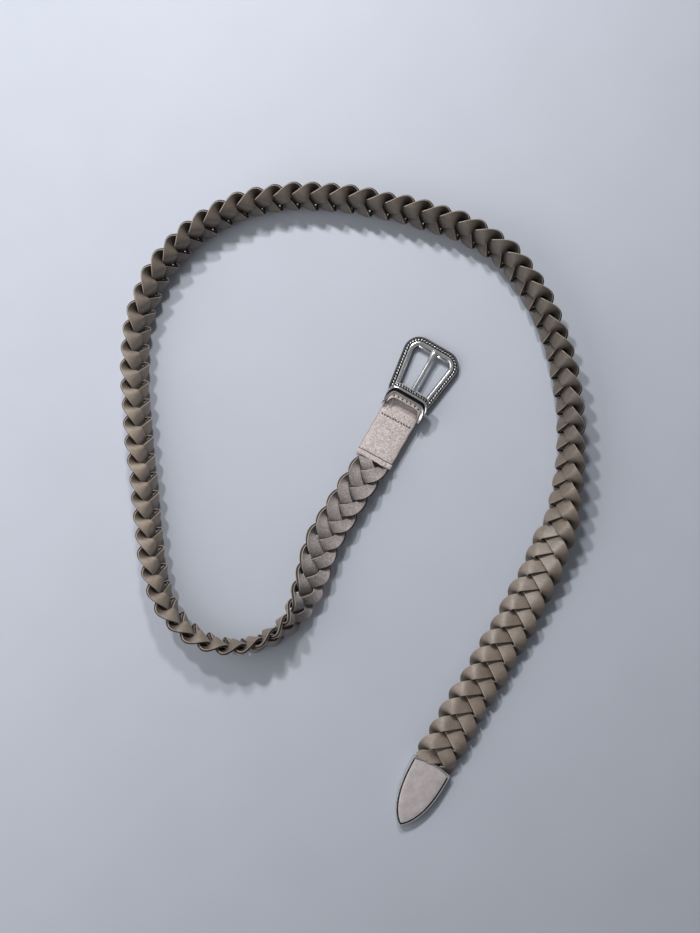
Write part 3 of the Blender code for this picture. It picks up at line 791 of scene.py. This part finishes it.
def cut_away(piece, low, high):
    """Cut a box out of a piece."""
    mesh = bpy.data.meshes.new("cut")
    corners = [(x, y, z) for x in (low[0], high[0]) for y in (low[1], high[1]) for z in (low[2], high[2])]
    faces = [(0, 1, 3, 2), (4, 6, 7, 5), (0, 4, 5, 1), (2, 3, 7, 6), (0, 2, 6, 4), (1, 5, 7, 3)]
    mesh.from_pydata([Vector(c) + SHIFT for c in corners], [], faces)
    cutter = add_object("cut", mesh)
    step = piece.modifiers.new("cut", "BOOLEAN")
    step.operation = "DIFFERENCE"
    step.object = cutter
    bpy.context.view_layer.update()
    depsgraph = bpy.context.evaluated_depsgraph_get()
    result = bpy.data.meshes.new_from_object(piece.evaluated_get(depsgraph))
    piece.modifiers.remove(step)
    piece.data = result
    bpy.data.objects.remove(cutter)


class BELT_OT_tab(bpy.types.Operator):
    """Fold the suede tab round the bar, with its band and its stitches"""

    bl_idname = "belt.tab"
    bl_label = "Tab"

    def execute(self, context):
        sizes = context.scene.belt_suede
        cloth = suede("tab_suede", toned(sizes.suede, 1.30))
        edge = fibre("tab_edge", (0.15, 0.12, 0.11))
        finish = [cloth, fibre("tab_edge_line", (0.36, 0.31, 0.28)), edge, cloth]
        line = tab_line(0.0012)
        y = line[:, 0][:, None]
        z = line[:, 1][:, None]
        side = np.linspace(-1.0, 1.0, 9)[None, :]
        waist = ease((-y - TAB_FOLD_START) / TAB_FOLD_TAPER)
        width = TAB_FOLD_WIDTH + (TAB_WIDTH + 0.0004 - TAB_FOLD_WIDTH) * waist
        swell = 0.00025 * (1.0 - side ** 2) * ease((-y - 0.008) / 0.01) * np.sign(z)
        swell = swell + 0.00012 * np.sin(y * 420.0 + side * 2.0) * (z > 0) * ease((-y - 0.01) / 0.01)
        x = side * width / 2 + 0.00012 * np.sin(y * 610.0) * side
        tab = strap("tab_suede_fold", sheet(x, y, z + BAR_HEIGHT + swell), 1.0, TAB_WALL, finish)
        reach = BAR_RADIUS + TAB_WALL * 2
        cut_away(tab, (-0.0026, -0.0046, BAR_HEIGHT - 2 * reach),
                 (0.0026, 2 * reach, BAR_HEIGHT + 2 * reach))
        dress(tab, "strap", "tab_leather", "tab")
        self.make_band(sizes, finish)
        self.make_seam_shade(sizes)
        self.make_stitches(sizes)
        return {"FINISHED"}

    def make_band(self, sizes, finish):
        """Lay the narrow band over the tab's mouth."""
        x = np.linspace(-1.0, 1.0, 41)[:, None]
        side = np.linspace(-1.0, 1.0, 5)[None, :]
        middle = -TAB_LENGTH + sizes.band / 2 + 0.0001
        y = middle + side * sizes.band / 2 + 0.00010 * np.sin(x * 9.0) + 0.00035 * x
        z = TAB_TOP + 0.0006 + 0.00035 * (1.0 - side ** 2) - 0.00055 * np.abs(x) ** 12
        points = sheet(x * (TAB_WIDTH / 2 + PIECE_GAP), y, z)
        dress(strap("tab_band", points, -1.0, 0.0011, finish), "strap", "tab_leather")

    def make_seam_shade(self, sizes):
        """Lay a thin dark strip, painted shade, where the band meets the tab."""
        dark = fibre("seam_shade", (0.035, 0.028, 0.026))
        x = np.linspace(-0.97, 0.97, 33)[:, None]
        side = np.linspace(-1.0, 1.0, 3)[None, :]
        y = -TAB_LENGTH + sizes.band + 0.0004 + side * 0.00028 + 0.00010 * np.sin(x * 9.0) + 0.00035 * x
        points = sheet(x * (TAB_WIDTH / 2 + 0.0001), y, TAB_TOP + 0.00022)
        dress(strap("tab_seam_shade", points, -1.0, 0.0002, [dark], 0), "strap", "tab_leather")

    def make_stitches(self, sizes):
        """Sew a row of short dark stitches across the tab."""
        thread = fibre("thread", sizes.thread, 0.7)
        chance = np.random.default_rng(5)
        angles = circle(8)
        made = []
        for stitch in range(sizes.stitches):
            share = (stitch + 0.5) / sizes.stitches * 2.0 - 1.0
            centre = share * (TAB_WIDTH / 2 - TAB_MARGIN)
            half = STITCH_HALF * (1.0 + 0.22 * chance.normal())
            tilt = 0.00024 * chance.normal()
            rings = []
            for place, size in STITCH_COURSE:
                radius = STITCH_RADIUS * size
                lift = 0.00036 - 0.00034 * place * place
                y = STITCH_LINE + tilt * place + radius * np.cos(angles) + 0.0004 * share
                rings.append(sheet(centre + place * half, y, TAB_TOP + lift + radius * 0.8 * np.sin(angles)))
            made.append(shell_mesh(f"stitch_{stitch}", rings, 0, [thread]))
        dress(join(made, "tab_stitches"), "strap", "tab_leather")


def join(items, name):
    """Join objects into one under a new name."""
    bm = bmesh.new()
    for item in items:
        bm.from_mesh(item.data)
    mesh = bpy.data.meshes.new(name)
    bm.to_mesh(mesh)
    bm.free()
    for material in items[0].data.materials:
        mesh.materials.append(material)
    for item in items:
        bpy.data.objects.remove(item)
    return add_object(name, mesh)


def rail_line(offset=0.0):
    """Middle line of the rails with its outward direction, right end to left end."""
    steps = 28
    near = (FRAME_NEAR_WIDTH - RAIL_WIDTH) / 2
    far = (FRAME_FAR_WIDTH - RAIL_WIDTH) / 2
    top = FRAME_LENGTH - RAIL_WIDTH / 2
    lean = math.atan2(far - near, top + FRAME_TAIL)
    sweep = math.pi / 2 + lean
    centre_x = far - FRAME_CORNER * math.tan(sweep / 2)
    centre_y = top - FRAME_CORNER
    outward = (math.cos(-lean), math.sin(-lean))
    corner = (centre_x + FRAME_CORNER * outward[0], centre_y + FRAME_CORNER * outward[1])
    points = []
    for step in range(14):
        share = step / 14
        spot = (near + (corner[0] - near) * share, -FRAME_TAIL + (corner[1] + FRAME_TAIL) * share)
        points.append((*spot, *outward))
    for step in range(steps + 1):
        angle = -lean + sweep * step / steps
        facing = (math.cos(angle), math.sin(angle))
        points.append((centre_x + FRAME_CORNER * facing[0], centre_y + FRAME_CORNER * facing[1], *facing))
    for step in range(1, 12):
        points.append((centre_x * (1 - step / 12), top, 0.0, 1.0))
    points.append((0.0, top, 0.0, 1.0))
    points += [(-x, y, -across, ahead) for x, y, across, ahead in reversed(points[:-1])]
    line = np.array(points)
    line[:, :2] += line[:, 2:] * offset
    return line


def rope(name, path, side, over, place, radius, lay, materials):
    """Return a rope twisted round a path, given how far along it each point lies."""
    angle = circle(ROPE_SIDES)
    bulge = np.abs(np.cos((angle[None, :] - math.tau * place[:, None] / lay) / 2))
    size = radius * (ROPE_WAIST + ROPE_SWELL * bulge)
    rings = (path[:, None, :] + side[:, None, :] * (size * np.cos(angle))[..., None]
             + over[:, None, :] * (size * np.sin(angle))[..., None])
    return shell_mesh(name, rings, (bulge[:-1] < ROPE_GAP).astype(int), materials)


class BELT_OT_buckle(bpy.types.Operator):
    """Cast the buckle frame with its roped channel and its bar"""

    bl_idname = "belt.buckle"
    bl_label = "Buckle frame"

    def execute(self, context):
        metal = context.scene.belt_metal
        silver = polished("old_silver_polish", metal.silver)
        dark = blackened("old_silver_black", metal.black)
        # The walls and the bar: the same silver darkened as painted shade
        side = polished("old_silver_shaded_side", toned(metal.silver, 0.07), 0.3, 0.45)
        line = rail_line()
        section = [(row[0] * RAIL_WIDTH, (row[1] + 0.5) * RAIL_HEIGHT) for row in RAIL_SECTION]
        rings = []
        for spot in line:
            rings.append([(spot[0] + spot[2] * a, spot[1] + spot[3] * a, z) for a, z in section])
        for end, place in ((line[0], 0), (line[-1], len(rings))):
            ring = [(end[0] + end[2] * a * 0.82, -FRAME_TAIL - 0.0003, 0.0022 + (z - 0.0022) * 0.82)
                    for a, z in section]
            rings.insert(place, ring)
        finishes = [row[2] for row in RAIL_SECTION]
        rail = shell_mesh("buckle_rails", rings, finishes, [silver, dark, side])
        dress(rail, "buckle", "old_silver", "buckle_frame")
        xs = np.linspace(-1.0, 1.0, 9) * (FRAME_NEAR_WIDTH - RAIL_WIDTH) / 2
        bar = [[(x, BAR_RADIUS * math.cos(a), BAR_HEIGHT + BAR_RADIUS * math.sin(a)) for a in circle(20)]
               for x in xs]
        dress(shell_mesh("buckle_bar", bar, 0, [side]), "buckle", "old_silver")
        self.make_rope(metal, dark)
        self.make_ledge(silver)
        return {"FINISHED"}

    def make_rope(self, metal, dark):
        """Lay the rope in the rails' channel."""
        cord = polished("old_silver_rope", metal.silver, 0.2, 0.4, 0.4)
        line = rail_line(0.15 * RAIL_WIDTH)
        lengths = travelled(line[:, :2])
        lay = 0.0019
        place = np.linspace(0.0, lengths[-1], int(lengths[-1] / (lay / 10)))
        spot = read_line(line, lengths, place)
        height = RAIL_HEIGHT / 2 + 0.14 * RAIL_HEIGHT + 0.00042
        path = sheet(spot[:, 0], spot[:, 1], height)
        side = sheet(spot[:, 2], spot[:, 3], 0.0)
        over = np.broadcast_to((0.0, 0.0, 1.0), side.shape)
        piece = rope("buckle_rope", path, side, over, place, 0.00062, lay, [cord, dark])
        dress(piece, "buckle", "old_silver")

    def make_ledge(self, silver):
        """Add the low bright ledge on the inner side of the far rail, both sides of the prong."""
        inner = FRAME_LENGTH - RAIL_WIDTH
        angles = circle(12)
        made = []
        for low, high in ((-0.0108, -0.0024), (0.0024, 0.0108)):
            rings = []
            for share, size in ((0.0, 0.3), (0.02, 0.8), (0.05, 1.0), (0.95, 1.0), (0.98, 0.8), (1.0, 0.3)):
                x = low + (high - low) * share
                rings.append([(x, inner - 0.00070 + 0.0007 * size * math.cos(a),
                               0.0033 + 0.0009 * size * math.sin(a)) for a in angles])
            made.append(shell_mesh(f"ledge_{len(made)}", rings, 0, [silver]))
        dress(join(made, "buckle_ledge"), "buckle", "old_silver")


class BELT_OT_prong(bpy.types.Operator):
    """Forge the prong with its eye round the bar"""

    bl_idname = "belt.prong"
    bl_label = "Prong"

    def execute(self, context):
        metal = context.scene.belt_metal
        silver = polished("prong_silver", metal.silver, 0.16, 0.3)
        start = BAR_HEIGHT + BAR_RADIUS + 0.0001
        finish = RAIL_HEIGHT - NOTCH_DEPTH + PIECE_GAP + 0.00155
        table = np.array(PRONG_COURSE)
        share = np.linspace(0.0, 1.0, 61)
        rings = [[(w * math.cos(a), s * PRONG_LENGTH, start + (finish - start) * d + t * math.sin(a))
                  for a in circle(20)] for s, d, w, t in read_line(table, table[:, 0], share)]
        rod = shell_mesh("prong_rod", rings, 0, [silver])
        inner = BAR_RADIUS + 0.0002
        outer = inner + 0.0012
        profile = [(inner, -0.0019), (inner, 0.0019), (outer - 0.0003, 0.0020), (outer, 0.0016),
                   (outer, -0.0016), (outer - 0.0003, -0.0020)]
        eye = [[(x, r * math.cos(a), BAR_HEIGHT + r * math.sin(a)) for r, x in profile]
               for a in circle(28)]
        loop = shell_mesh("prong_eye", eye, 0, [silver], closed=True)
        dress(join([rod, loop], "prong_forged"), "tongue", "old_silver", "prong")
        return {"FINISHED"}


def keeper_ring(angle, inset):
    """Front view of the keeper at angles round it, moved inwards by an inset."""
    half = TAB_WIDTH / 2 + PIECE_GAP + KEEPER_WALL
    crown = TAB_TOP + KEEPER_RISE + KEEPER_WALL
    foot = BAR_HEIGHT - KEEPER_BAR_WALL / 2
    across = np.cos(angle)
    up = np.sin(angle)
    power = np.where(up > 0, 2 / KEEPER_BULGE, 2 / 9.0)
    height = np.where(up > 0, crown - TAB_TOP - inset,
                      TAB_TOP - foot - inset * KEEPER_BAR_WALL / KEEPER_WALL)
    x = (half - inset) * np.copysign(np.abs(across) ** power, across)
    return x, TAB_TOP + height * np.copysign(np.abs(up) ** power, up)


def keeper_span(angle):
    """Front and back of the keeper, and how much of its relief shows."""
    up = np.sin(angle)
    arch = ease(up)
    front = KEEPER_HOOD * arch - KEEPER_SETBACK * (1.0 - arch)
    back = front - KEEPER_FOOT * (1.0 - arch) - KEEPER_CROWN * arch
    narrow = (front - back) / 2 * ease(-up / 0.8)
    return front - narrow / 2, back + narrow, ease((up - 0.05) / 0.5)


class BELT_OT_keeper(bpy.types.Operator):
    """Cast the arched keeper, its rope and its suede lining"""

    bl_idname = "belt.keeper"
    bl_label = "Keeper"

    def execute(self, context):
        metal = context.scene.belt_metal
        silver = polished("keeper_silver", metal.silver)
        dark = blackened("keeper_black", metal.black)
        turns = 144
        angle = math.tau * (np.arange(turns) + 0.5) / turns
        front, back, relief = keeper_span(angle)
        ribs = 1.0 + 0.05 * np.sin(keeper_ring(angle, 0.0)[0] * 5200.0)
        rings = []
        for share, rise, _ in CROWN_SECTION:
            ribbed = ribs if 0.4 < share < 0.6 else 1.0
            x, z = keeper_ring(angle, -rise * KEEPER_RELIEF * relief * ribbed)
            rings.append(np.stack([x, front + (back - front) * share, z], axis=-1))
        for share in (0.97, 0.03):
            x, z = keeper_ring(angle, KEEPER_WALL)
            rings.append(np.stack([x, front + (back - front) * share, z], axis=-1))
        rings = np.stack(rings, axis=1)
        finishes = [row[2] for row in CROWN_SECTION] + [1, 1]
        loop = shell_mesh("keeper_cast", rings, finishes, [silver, dark], closed=True)
        dress(loop, "strap", "old_silver", "keeper_loop")
        self.make_rope(metal, dark)
        self.make_lining(context.scene.belt_suede)
        return {"FINISHED"}

    def make_rope(self, metal, dark):
        """Lay a fine rope in the crown's front channel."""
        cord = polished("keeper_rope_silver", metal.silver, 0.2, 0.4, 0.4)
        angle = np.linspace(0.10 * math.pi, 0.90 * math.pi, 120)
        front, back, relief = keeper_span(angle)
        x, z = keeper_ring(angle, 0.00015 * relief)
        y = front + (back - front) * 0.245
        path = np.stack([x, y, z], axis=-1)
        lengths = travelled(path)
        place = np.linspace(0.0, lengths[-1], int(lengths[-1] / 0.00014))
        path = read_line(path, lengths, place)
        ahead = np.gradient(path, axis=0)
        ahead /= np.linalg.norm(ahead, axis=1, keepdims=True)
        side = np.cross(ahead, np.array([0.0, 1.0, 0.0]))
        side /= np.linalg.norm(side, axis=1, keepdims=True)
        over = np.cross(ahead, side)
        piece = rope("keeper_rope", path, side, over, place, 0.00052, 0.0018, [cord, dark])
        dress(piece, "strap", "old_silver")

    def make_lining(self, sizes):
        """Glue the strip of suede under the crown, with a row of dark plugs that stand for its holes as
        painted shade.
        """
        cloth = suede("lining_suede", toned(sizes.suede, 1.10))
        edge = fibre("lining_edge", (0.10, 0.08, 0.075))
        finish = [cloth, fibre("lining_edge_line", (0.30, 0.26, 0.24)), edge, cloth]
        wall = 0.0013
        angle = math.pi * np.linspace(0.16, 0.84, 61)[:, None]
        side = np.linspace(-1.0, 1.0, 5)[None, :]
        back = keeper_span(angle)[1]
        x, z = keeper_ring(angle, KEEPER_WALL + PIECE_GAP + wall / 2)
        y = back + 0.0024 - 0.0056 * (side + 1.0) / 2
        strip = strap("lining_suede_strip", sheet(x, y, z), -1.0, wall, finish)
        dress(strip, "strap", "tab_leather", "keeper_lining")
        # Each hole is a dark plug: painted shade in place of an opening
        hole_shade = fibre("lining_hole_shade", (0.02, 0.016, 0.015))
        made = []
        forward = Vector((0.0, 1.0, 0.0))
        for place in np.linspace(-0.74, 0.74, 7):
            turn = math.acos(-math.copysign(abs(place) ** (KEEPER_BULGE / 2), place))
            hx, hz = keeper_ring(np.array(turn), KEEPER_WALL + PIECE_GAP)
            hy = float(keeper_span(np.array(turn))[1]) - 0.0017
            out = Vector((math.cos(turn) / 2, 0.0, 1.0)).normalized()
            beside = out.cross(forward)
            rings = []
            for lift, radius in ((-0.0006, 0.00046), (0.00012, 0.00058), (0.00015, 0.00020)):
                middle = Vector((float(hx), hy, float(hz))) + out * lift
                rings.append([tuple(middle + beside * radius * math.cos(a) + forward * radius * math.sin(a))
                              for a in circle(10)])
            made.append(shell_mesh(f"hole_{len(made)}", rings, 0, [hole_shade]))
        dress(join(made, "lining_holes"), "strap", "tab_leather")


class BELT_OT_tip(bpy.types.Operator):
    """Cast the shield-shaped tip with its raised rim and satin face"""

    bl_idname = "belt.tip"
    bl_label = "Tip"

    def execute(self, context):
        metal = context.scene.belt_metal
        materials = [
            polished("tip_rim_silver", metal.silver),
            blackened("tip_black", metal.black),
            # The tip's side: the same silver darkened as painted shade
            polished("tip_shaded_side_silver", toned(metal.silver, 0.4), 0.3, 0.45),
            satin_face(metal.face),
        ]
        middle, ahead = (rows[0] for rows in Course().frame(np.array([BRAID_LENGTH]))[:2])
        aside = np.array([ahead[1], -ahead[0], 0.0])
        outline = self.outline()
        rings = []
        for inset, high, _ in TIP_SECTION:
            ring = self.inset(outline, inset)
            place = np.zeros((len(ring), 3))
            place[:, :2] = middle[:2] + ring[:, :1] * aside[:2] + ring[:, 1:] * ahead[:2]
            place[:, 2] = TIP_HEIGHT * high
            rings.append(place)
        marks = np.array([row[2] for row in TIP_SECTION[:-1]])[:, None]
        piece = shell_mesh("tip_cast", np.stack(rings), marks, materials)
        for polygon in piece.data.polygons:
            if polygon.material_index == 1 and polygon.center.z > 0.003:
                spot = np.array(polygon.center) - np.array(SHIFT) - middle
                if spot @ ahead < -TIP_BULGE + 0.0024 + 0.9 * abs(spot @ aside) ** 2 * 14:
                    polygon.material_index = 3
        dress(piece, "strap", "tip_silver", "tip")
        return {"FINISHED"}

    def outline(self):
        """Outline of the tip seen from above, evenly spaced: x outwards, y towards the point."""
        half = TIP_WIDTH / 2
        share = np.linspace(0.0, 1.0, 60)
        mouth = np.stack([half * share[:-1], -TIP_BULGE * (1.0 - share[:-1] ** 2)], axis=-1)
        turn = np.sin(math.pi / 2 * np.linspace(0.0, 1.0, 200))
        side = np.stack([half * (1.0 - turn ** TIP_SHOULDER) ** TIP_TAPER, TIP_LENGTH * turn], axis=-1)
        right = np.concatenate([mouth, side])
        left = right[1:-1][::-1] * np.array([-1.0, 1.0])
        ring = np.concatenate([right, left])
        closed = np.concatenate([ring, ring[:1]])
        lengths = travelled(closed)
        return read_line(closed, lengths, np.linspace(0.0, lengths[-1], 181)[:-1])

    def inset(self, outline, inset):
        """Move an outline inwards along its own normals, kept from folding over."""
        if inset > TIP_DEEP:
            middle = np.array([0.0, TIP_LENGTH * 0.32])
            return outline + (middle - outline) * (inset / 0.0125)
        ahead = np.roll(outline, -1, axis=0) - np.roll(outline, 1, axis=0)
        ahead /= np.linalg.norm(ahead, axis=1, keepdims=True)
        inward = np.stack([-ahead[:, 1], ahead[:, 0]], axis=-1)
        moved = outline + inward * inset
        nearest = np.linalg.norm(moved[:, None] - outline[None], axis=2).min(axis=1)
        index = np.arange(len(moved))
        good = nearest >= inset * 0.95
        return np.stack([np.interp(index, index[good], column[good], period=len(moved))
                         for column in moved.T], axis=-1)


class BELT_OT_stage(bpy.types.Operator):
    """Set the floor, the soft lights and the camera"""

    bl_idname = "belt.stage"
    bl_label = "Stage"

    def execute(self, context):
        sizes = context.scene.belt_stage
        scene = context.scene
        floor_mesh = bpy.data.meshes.new("floor")
        reach = 2.5
        floor_mesh.from_pydata([(-reach, -reach, 0.0), (reach, -reach, 0.0), (reach, reach, 0.0),
                                (-reach, reach, 0.0)], [], [(0, 1, 2, 3)])
        paint = Paint("floor_paint", sizes.floor, 0.55, specular=0.3)
        paint.colour(paint.mottle(sizes.floor, (0.05, 2.0, 0.6, ((0.3, 0.985), (0.7, 1.012)))))
        paint.bump(paint.noise(0.0035, 3.0), 0.00008, 0.35)
        floor_mesh.materials.append(paint.material)
        add_object("floor", floor_mesh)
        world = bpy.data.worlds.new("studio")
        scene.world = world
        world.use_nodes = True
        background = world.node_tree.nodes["Background"]
        background.inputs["Color"].default_value = (0.95, 0.97, 1.0, 1.0)
        background.inputs["Strength"].default_value = 0.17
        for lamp in LAMPS:
            self.add_light(*lamp)
        data = bpy.data.cameras.new("camera")
        data.sensor_width = 36.0
        data.sensor_fit = "AUTO"
        data.lens = 36.0 * sizes.camera_height / sizes.view_height
        data.clip_start = 0.01
        camera = add_object("camera", data)
        middle = VIEW_MIDDLE + SHIFT.xy
        camera.location = (middle.x, middle.y, sizes.camera_height)
        camera.rotation_euler = (0.0, 0.0, VIEW_TURN)
        scene.camera = camera
        scene.view_settings.view_transform = "Standard"
        return {"FINISHED"}

    def add_light(self, name, compass, height, distance, size, power):
        """Add a soft square light aimed at the belt."""
        turn = math.radians(compass) + VIEW_TURN
        rise = math.radians(height)
        place = Vector((math.cos(turn) * math.cos(rise), math.sin(turn) * math.cos(rise), math.sin(rise)))
        place *= distance
        data = bpy.data.lights.new(name, "AREA")
        data.size = size
        data.energy = power
        light = add_object(name, data)
        light.location = place
        light.rotation_euler = (-place).to_track_quat("-Z", "Y").to_euler()


class BELT_PT_dress(bpy.types.Panel):
    """Lists the steps that dress the belt"""

    bl_idname = "BELT_PT_dress"
    bl_label = "Braided Belt"
    bl_space_type = "VIEW_3D"
    bl_region_type = "UI"
    bl_category = "Belt"

    def draw(self, context):
        for step in OPERATORS:
            self.layout.operator(step.bl_idname)


SETTINGS = (
    ("belt_braid", BraidSizes),
    ("belt_suede", SuedeSizes),
    ("belt_metal", MetalSizes),
    ("belt_stage", StageSizes),
)
OPERATORS = (BELT_OT_stage, BELT_OT_strands, BELT_OT_tab, BELT_OT_buckle, BELT_OT_prong,
             BELT_OT_keeper, BELT_OT_tip)


def register():
    """Add the settings, the steps and the panel."""
    for name, kind in SETTINGS:
        bpy.utils.register_class(kind)
        setattr(bpy.types.Scene, name, PointerProperty(type=kind))
    for kind in (*OPERATORS, BELT_PT_dress):
        bpy.utils.register_class(kind)


def unregister():
    """Take the panel, the steps and the settings away."""
    for kind in (BELT_PT_dress, *reversed(OPERATORS)):
        bpy.utils.unregister_class(kind)
    for name, kind in reversed(SETTINGS):
        delattr(bpy.types.Scene, name)
        bpy.utils.unregister_class(kind)


def main():
    """Run every step."""
    register()
    bpy.ops.belt.stage()
    bpy.ops.belt.strands()
    bpy.ops.belt.tab()
    bpy.ops.belt.buckle()
    bpy.ops.belt.prong()
    bpy.ops.belt.keeper()
    bpy.ops.belt.tip()


if __name__ == "__main__":
    main()
